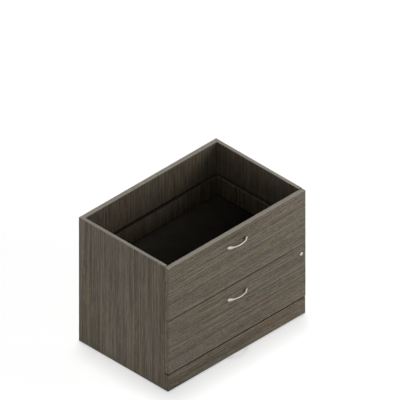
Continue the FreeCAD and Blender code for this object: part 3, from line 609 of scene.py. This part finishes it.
def finish_piece(bm, name, material, slot, body, *nodes):
    """Turns a bmesh into a piece that stands for the named CAD solids and rides on their body."""
    bmesh.ops.recalc_face_normals(bm, faces=bm.faces[:])
    mesh = bpy.data.meshes.new(name)
    bm.to_mesh(mesh)
    bm.free()
    mesh.materials.append(material)
    piece = bpy.data.objects.new(name, mesh)
    bpy.context.scene.collection.objects.link(piece)
    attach(piece, body)
    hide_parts(*nodes)
    return piece


def arc_height(x, half, rise):
    """Height at x of a circular arc over a chord, or 0 beyond the chord."""
    radius = (half * half + rise * rise) / (2.0 * rise)
    return max(0.0, math.sqrt(max(0.0, radius * radius - x * x)) - (radius - rise))


def bow_handle(node, sizes):
    """Bow handle: a rounded section swept along a crescent that widens into oval feet."""
    low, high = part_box(node)
    half = (high[0] - low[0]) / 2
    middle_x = (high[0] + low[0]) / 2
    middle_z = (high[2] + low[2]) / 2
    reach = high[1] - low[1]
    foot = (high[2] - low[2]) / 2
    waist = sizes.waist / 2
    foot_x = half - sizes.foot_length / 2
    neck_x = sizes.neck_span / 2
    bm = bmesh.new()
    turn = bm.verts.layers.float.new("turn")

    def half_height(x):
        if x > foot_x:
            return foot * math.sqrt(max(0.0, 1.0 - ((x - foot_x) / (half - foot_x)) ** 2))
        share = max(0.0, (x - neck_x) / (foot_x - neck_x))
        return waist + (foot - waist) * share * share * (3.0 - 2.0 * share)

    def shape(ring, share):
        x = half * math.sin(share * math.pi / 2)
        across = 2.0 * x / sizes.inner_span
        far = arc_height(x, half + sizes.tip_run, reach)
        near = (reach - sizes.thick) * math.sqrt(max(0.0, 1.0 - across**2))
        tall = half_height(abs(x))
        for vertex in ring:
            c = math.cos(vertex[turn])
            s = math.sin(vertex[turn])
            out = (far + near) / 2 + (far - near) / 2 * math.copysign(abs(c) ** BOW_SQUARENESS, c)
            up = tall * math.copysign(abs(s) ** BOW_SQUARENESS, s)
            vertex.co = (middle_x + x, high[1] - out, middle_z + up)

    made = bmesh.ops.create_circle(bm, cap_ends=False, segments=BOW_SECTION_POINTS, radius=1.0)
    ring = made["verts"]
    for vertex in ring:
        vertex[turn] = math.atan2(vertex.co.y, vertex.co.x)
    edges = bm.edges[:]
    shape(ring, -1.0)
    for step in range(1, BOW_STATIONS + 1):
        made = bmesh.ops.extrude_edge_only(bm, edges=edges)["geom"]
        edges = [item for item in made if isinstance(item, bmesh.types.BMEdge)]
        ring = [item for item in made if isinstance(item, bmesh.types.BMVert)]
        shape(ring, 2.0 * step / BOW_STATIONS - 1.0)
    bmesh.ops.remove_doubles(bm, verts=bm.verts[:], dist=SAME_CORNER)
    for face in bm.faces:
        face.smooth = True
    return bm


def separate_solids(node):
    """Corner lists of the separate solids in one CAD node."""
    bm = bmesh.new()
    bm.from_mesh(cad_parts[node].data)
    bmesh.ops.remove_doubles(bm, verts=bm.verts[:], dist=SAME_CORNER)
    left = set(bm.verts)
    solids = []
    while left:
        reached = [left.pop()]
        corners = []
        while reached:
            vertex = reached.pop()
            corners.append(vertex.co.copy())
            for edge in vertex.link_edges:
                other = edge.other_vert(vertex)
                if other in left:
                    left.remove(other)
                    reached.append(other)
        solids.append(corners)
    bm.free()
    return solids


def screw_measures(corners):
    """Axis from tip to head, tip, head radius and length of one screw."""
    low = Vector([min(corner[k] for corner in corners) for k in range(3)])
    high = Vector([max(corner[k] for corner in corners) for k in range(3)])
    size = high - low
    along = max(range(3), key=lambda k: size[k])
    middle = (low + high) / 2
    head = min(size) / 2
    axis = Vector()
    axis[along] = 1.0

    def from_axis(corner):
        offset = corner - middle
        return (offset - offset.dot(axis) * axis).length

    rim = [corner[along] for corner in corners if from_axis(corner) > HEAD_RIM * head]
    tip = middle.copy()
    if max(rim) > high[along] - head:
        tip[along] = low[along]
    else:
        tip[along] = high[along]
        axis.negate()
    return axis, tip, head, size[along]


def face_height(face):
    """Height of a face's middle."""
    return face.calc_center_median().z


def cross_head_screw(corners):
    """Pan-head screw with a cross recess, set where the CAD screw is."""
    axis, tip, head, long = screw_measures(corners)
    depth = HEAD_DEPTH * head
    bm = bmesh.new()
    seat = Matrix.Translation((0.0, 0.0, long - depth / 2))
    bmesh.ops.create_cone(
        bm, cap_ends=True, segments=HEAD_SIDES, radius1=head, radius2=head, depth=depth, matrix=seat
    )
    rim = list(max(bm.faces, key=face_height).edges)
    bmesh.ops.bevel(
        bm, geom=rim, offset=HEAD_ROUNDING * head, offset_type="OFFSET", segments=3, profile=0.5,
        affect="EDGES", material=-1, clamp_overlap=True,
    )
    top = max(bm.faces, key=face_height)
    bmesh.ops.inset_region(bm, faces=[top], thickness=RECESS_LAND * head)
    for vertex in top.verts:
        turn = math.atan2(vertex.co.y, vertex.co.x)
        reach = head * (RECESS_REACH + RECESS_LOBE * math.cos(4.0 * turn))
        vertex.co.xy = (reach * math.cos(turn), reach * math.sin(turn))
    top = bmesh.ops.extrude_discrete_faces(bm, faces=[top])["faces"][0]
    bmesh.ops.translate(bm, verts=top.verts, vec=(0.0, 0.0, -RECESS_DEPTH * head))
    bottom = min(bm.faces, key=face_height)
    bmesh.ops.inset_region(bm, faces=[bottom], thickness=SHANK_SETBACK * head)
    bottom = bmesh.ops.extrude_discrete_faces(bm, faces=[bottom])["faces"][0]
    bmesh.ops.translate(bm, verts=bottom.verts, vec=(0.0, 0.0, depth - long))
    turned = Vector((0.0, 0.0, 1.0)).rotation_difference(axis).to_matrix().to_4x4()
    bmesh.ops.transform(bm, matrix=Matrix.Translation(tip) @ turned, verts=bm.verts[:])
    return bm


def gather(meshes):
    """One bmesh of several, each freed after it is taken in."""
    whole = bmesh.new()
    for bm in meshes:
        part = bpy.data.meshes.new("part")
        bm.to_mesh(part)
        bm.free()
        whole.from_mesh(part)
        bpy.data.meshes.remove(part)
    return whole


class CREDENZA_OT_case_boards(bpy.types.Operator):
    """Ends, back, bottom, kick board and front rail in woodgrain laminate"""

    bl_idname = "credenza.case_boards"
    bl_label = "Case boards"

    def execute(self, context):
        looks = context.scene.credenza_laminate
        dust = context.scene.credenza_boards.dust
        coat(UPRIGHT_BOARDS, laminate("upright_woodgrain", True, looks, looks.edge, dust))
        coat(("bottom_panel",), laminate("bottom_woodgrain", True, looks, None, dust))
        # Painted shade: the level edges of the kick board and front rail take the dark streak colour,
        # which darkens the gap between the lower drawer front and the kick board.
        coat(LEVEL_BOARDS, laminate("level_woodgrain", False, looks, looks.dark, dust, shine=0.15))
        return {"FINISHED"}


class CREDENZA_OT_drawer_fronts(bpy.types.Operator):
    """Drawer fronts in woodgrain laminate that runs across"""

    bl_idname = "credenza.drawer_fronts"
    bl_label = "Drawer fronts"

    def execute(self, context):
        looks = context.scene.credenza_laminate
        boards = context.scene.credenza_boards
        # Painted shade: the lower front's top edge takes the near-black edge colour, which darkens the
        # gap between the drawer fronts.
        for level, edge in zip(LEVELS, (looks.edge, boards.painted_shade_edge)):
            woodgrain_front = laminate(level + "_front_woodgrain", False, looks, edge, boards.dust)
            coat([level + "_drawer_front"], woodgrain_front)
        return {"FINISHED"}


class CREDENZA_OT_drawer_boxes(bpy.types.Operator):
    """Drawer boxes in woodgrain laminate made paler, with dark edges and black bottoms; the paleness is
    painted light and the dark parts are painted shade inside the drawers
    """

    bl_idname = "credenza.drawer_boxes"
    bl_label = "Drawer boxes"

    def execute(self, context):
        looks = context.scene.credenza_boards
        grain = context.scene.credenza_laminate
        # Painted light and shade: the case laminate is made 1.25 times paler to lift the box walls in
        # the drawers' shade, and its dust takes the near-black board colour, which darkens the
        # up-facing rims.
        sides = laminate(
            "drawer_woodgrain", True, grain, looks.painted_shade_edge, looks.black, paleness=1.25, shine=0.04
        )
        # Painted shade: the near-black bottoms stand in for the deep shade inside the drawers.
        bottoms = black_board(looks)
        for level in LEVELS:
            coat([f"{level}_drawer_{board}" for board in BOX_BOARDS], sides)
            coat([level + "_drawer_bottom"], bottoms)
        return {"FINISHED"}


class CREDENZA_OT_handles(bpy.types.Operator):
    """Bow handles in satin nickel"""

    bl_idname = "credenza.handles"
    bl_label = "Handles"

    def execute(self, context):
        metals = context.scene.credenza_metals
        # The handles' back-looking faces get painted shade from the inside colour.
        nickel = drawn_metal(
            "brushed_nickel", metals.nickel, along=0, smooth=0.40, rough=0.52,
            inside=metals.nickel_painted_shade,
        )
        for level in LEVELS:
            node = level + "_handle"
            bm = bow_handle(node, context.scene.credenza_handle)
            finish_piece(bm, node + "_bow", nickel, "satin_nickel", level + "_drawer", node)
        return {"FINISHED"}


class CREDENZA_OT_slides(bpy.types.Operator):
    """Drawer slides and their ball cages in drawn steel"""

    bl_idname = "credenza.slides"
    bl_label = "Slides"

    def execute(self, context):
        tint = context.scene.credenza_metals.slide
        steel = drawn_metal("drawn_steel", tint, along=1, smooth=0.54, rough=0.66)
        for level in LEVELS:
            coat([f"{level}_{side}_{part}_slide" for side in SIDES for part in SLIDE_MEMBERS], steel)
            coat([f"{level}_{ring}_ball_cages" for ring in ("outer", "inner")], steel)
        return {"FINISHED"}


class CREDENZA_OT_lock(bpy.types.Operator):
    """Lock face in turned chrome, lock works in zinc-plated steel"""

    bl_idname = "credenza.lock"
    bl_label = "Lock"

    def execute(self, context):
        coat(("lock_barrel", "lock_plug"), turned_chrome(context.scene.credenza_metals))
        coat(LOCK_STEEL, zinc(context.scene))
        return {"FINISHED"}


class CREDENZA_OT_screws(bpy.types.Operator):
    """Pan-head screws with cross recesses"""

    bl_idname = "credenza.screws"
    bl_label = "Screws"

    def execute(self, context):
        plate = zinc(context.scene)
        groups = {"case_screws": "case", "lock_cam_screw": "lock_plug"}
        for level in LEVELS:
            groups[level + "_drawer_screws"] = level + "_drawer"
            groups[level + "_handle_screws"] = level + "_drawer"
        for node, body in groups.items():
            bm = gather(cross_head_screw(corners) for corners in separate_solids(node))
            finish_piece(bm, node + "_cross_head", plate, "zinc_steel", body, node)
        return {"FINISHED"}


class CREDENZA_OT_feet(bpy.types.Operator):
    """Levelling feet and their brackets in zinc-plated steel"""

    bl_idname = "credenza.feet"
    bl_label = "Levelling feet"

    def execute(self, context):
        coat((*FEET, "leveller_brackets"), zinc(context.scene))
        return {"FINISHED"}


class CREDENZA_OT_dowels_bumpers(bpy.types.Operator):
    """Beech dowels and soft bumpers"""

    bl_idname = "credenza.dowels_bumpers"
    bl_label = "Dowels and bumpers"

    def execute(self, context):
        looks = context.scene.credenza_boards
        coat(("case_dowels", "upper_drawer_dowels", "lower_drawer_dowels"), beech(looks))
        coat(("drawer_bumpers",), rubber(looks))
        return {"FINISHED"}


def shown_white(nodes):
    """1 for what the camera sees straight, mirrored or through glass, else 0."""
    light = nodes.add("LightPath").outputs
    seen = nodes.math("MAXIMUM", light["Is Camera Ray"], light["Is Glossy Ray"])
    return nodes.math("MAXIMUM", seen, light["Is Transmission Ray"])


def hang(scene, name, data, place, aim):
    """Puts a lamp or camera at a place, looking along a direction."""
    made = bpy.data.objects.new(name, data)
    made.location = place
    made.rotation_euler = Vector(aim).to_track_quat("-Z", "Y").to_euler()
    scene.collection.objects.link(made)
    return made


class CREDENZA_OT_stage(bpy.types.Operator):
    """Pale floor, soft lamps and the camera"""

    bl_idname = "credenza.stage"
    bl_label = "Stage"

    def execute(self, context):
        scene = context.scene
        looks = scene.credenza_stage
        self.floor(looks)
        self.room(scene, looks)
        self.top_lamps(scene, looks)
        self.front_lamp(scene, looks)
        self.camera(scene, looks)
        scene.view_settings.view_transform = "Standard"
        return {"FINISHED"}

    def floor(self, looks):
        bm = bmesh.new()
        bmesh.ops.create_grid(bm, x_segments=2, y_segments=2, size=looks.floor_size / 2)
        mesh = bpy.data.meshes.new("floor")
        bm.to_mesh(mesh)
        bm.free()
        material, nodes, shader = blank("floor_paint")
        cloud = nodes.noise(nodes.stretch(nodes.place(), FLOOR_CLOUD), 2.0)
        bounce = (looks.floor_bounce,) * 3
        white = nodes.blend(cloud, *((grey,) * 3 for grey in FLOOR_GREYS))
        seen = shown_white(nodes)
        nodes.feed(shader["Base Color"], nodes.blend(seen, bounce, white))
        glow = nodes.blend(seen, (0.0, 0.0, 0.0), (looks.floor_glow,) * 3)
        nodes.feed(shader["Emission Color"], glow)
        nodes.feed(shader["Emission Strength"], 1.0)
        nodes.feed(shader["Roughness"], 1.0)
        nodes.feed(shader["Specular IOR Level"], 0.0)
        mesh.materials.append(material)
        floor = bpy.data.objects.new("floor", mesh)
        bpy.context.scene.collection.objects.link(floor)

    def room(self, scene, looks):
        world = bpy.data.worlds.new("studio")
        world.use_nodes = True
        nodes = Nodes(world.node_tree)
        back = world.node_tree.nodes["Background"].inputs
        nodes.feed(back["Color"], (1.0, 1.0, 1.0))
        rise = nodes.split(nodes.add("TexCoord").outputs["Generated"])[2]
        light = nodes.between(rise, 0.0, looks.walls_top, looks.walls, looks.ceiling)
        nodes.feed(back["Strength"], nodes.choose(shown_white(nodes), light, 1.0))
        scene.world = world

    def top_lamps(self, scene, looks):
        lean = math.tan(looks.rear_lean)
        rear_aim = (-lean * math.sin(looks.rear_turn), -lean * math.cos(looks.rear_turn), -1.0)
        lamps = {
            "overhead_lamp": (looks.overhead, (0.0, 0.0, -1.0), OVERHEAD_SOFTNESS),
            "rear_lamp": (looks.rear, rear_aim, looks.rear_soft),
        }
        for name, (light, aim, soft) in lamps.items():
            data = bpy.data.lights.new(name, "SUN")
            data.energy = light * math.pi
            data.angle = soft
            lamp = hang(scene, name, data, (0.0, 0.0, TOP_LAMP_HEIGHT), aim)
            lamp.visible_glossy = False

    def front_lamp(self, scene, looks):
        low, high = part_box("lower_drawer_front")
        face = Vector((0.0, low[1], high[2]))
        turn = looks.front_turn
        away = Vector((math.sin(turn), -math.cos(turn), 0.0)) * looks.front_distance
        away.z = looks.front_height - face.z
        data = bpy.data.lights.new("front_lamp", "AREA")
        data.shape = "RECTANGLE"
        data.size, data.size_y = FRONT_LAMP_SIZE
        facing = looks.front_distance * math.cos(turn) / away.length
        data.energy = looks.front * (math.pi * away.length) ** 2 / facing
        hang(scene, "front_lamp", data, face + away, -away)

    def camera(self, scene, looks):
        turn, rise = looks.azimuth, looks.elevation
        level = math.cos(rise)
        back = Vector((math.sin(turn) * level, -math.cos(turn) * level, math.sin(rise)))
        right = Vector((math.cos(turn), math.sin(turn), 0.0))
        up = back.cross(right)
        lows = [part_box(name)[0] for name in ("left_end_panel", "upper_drawer_front")]
        highs = [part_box(name)[1] for name in ("right_end_panel", "back_panel")]
        foot = Vector(((lows[0][0] + highs[0][0]) / 2, (lows[1][1] + highs[1][1]) / 2, 0.0))
        data = bpy.data.cameras.new("camera")
        data.type = "ORTHO"
        data.ortho_scale = looks.view_width
        place = foot + looks.view_right * right + looks.view_up * up + CAMERA_DISTANCE * back
        scene.camera = hang(scene, "camera", data, place, -back)


OPERATORS = (
    CREDENZA_OT_case_boards, CREDENZA_OT_drawer_fronts, CREDENZA_OT_drawer_boxes, CREDENZA_OT_handles,
    CREDENZA_OT_slides, CREDENZA_OT_lock, CREDENZA_OT_screws, CREDENZA_OT_feet,
    CREDENZA_OT_dowels_bumpers, CREDENZA_OT_stage,
)


class CREDENZA_PT_pieces(bpy.types.Panel):
    """Lists the credenza's pieces and stage"""

    bl_label = "Credenza"
    bl_space_type = "VIEW_3D"
    bl_region_type = "UI"
    bl_category = "Credenza"

    def draw(self, context):
        for operator in OPERATORS:
            self.layout.operator(operator.bl_idname)


POINTERS = {
    "credenza_laminate": CredenzaLaminate, "credenza_boards": CredenzaBoards,
    "credenza_metals": CredenzaMetals, "credenza_handle": CredenzaHandle,
    "credenza_stage": CredenzaStage,
}
CLASSES = (*POINTERS.values(), *OPERATORS, CREDENZA_PT_pieces)


def register():
    for item in CLASSES:
        bpy.utils.register_class(item)
    for name, group in POINTERS.items():
        setattr(bpy.types.Scene, name, PointerProperty(type=group))


def unregister():
    for name in POINTERS:
        delattr(bpy.types.Scene, name)
    for item in reversed(CLASSES):
        bpy.utils.unregister_class(item)


def main():
    register()
    bpy.ops.credenza.case_boards()
    bpy.ops.credenza.drawer_fronts()
    bpy.ops.credenza.drawer_boxes()
    bpy.ops.credenza.handles()
    bpy.ops.credenza.slides()
    bpy.ops.credenza.lock()
    bpy.ops.credenza.screws()
    bpy.ops.credenza.feet()
    bpy.ops.credenza.dowels_bumpers()
    bpy.ops.credenza.stage()


if __name__ == "__main__":
    main()
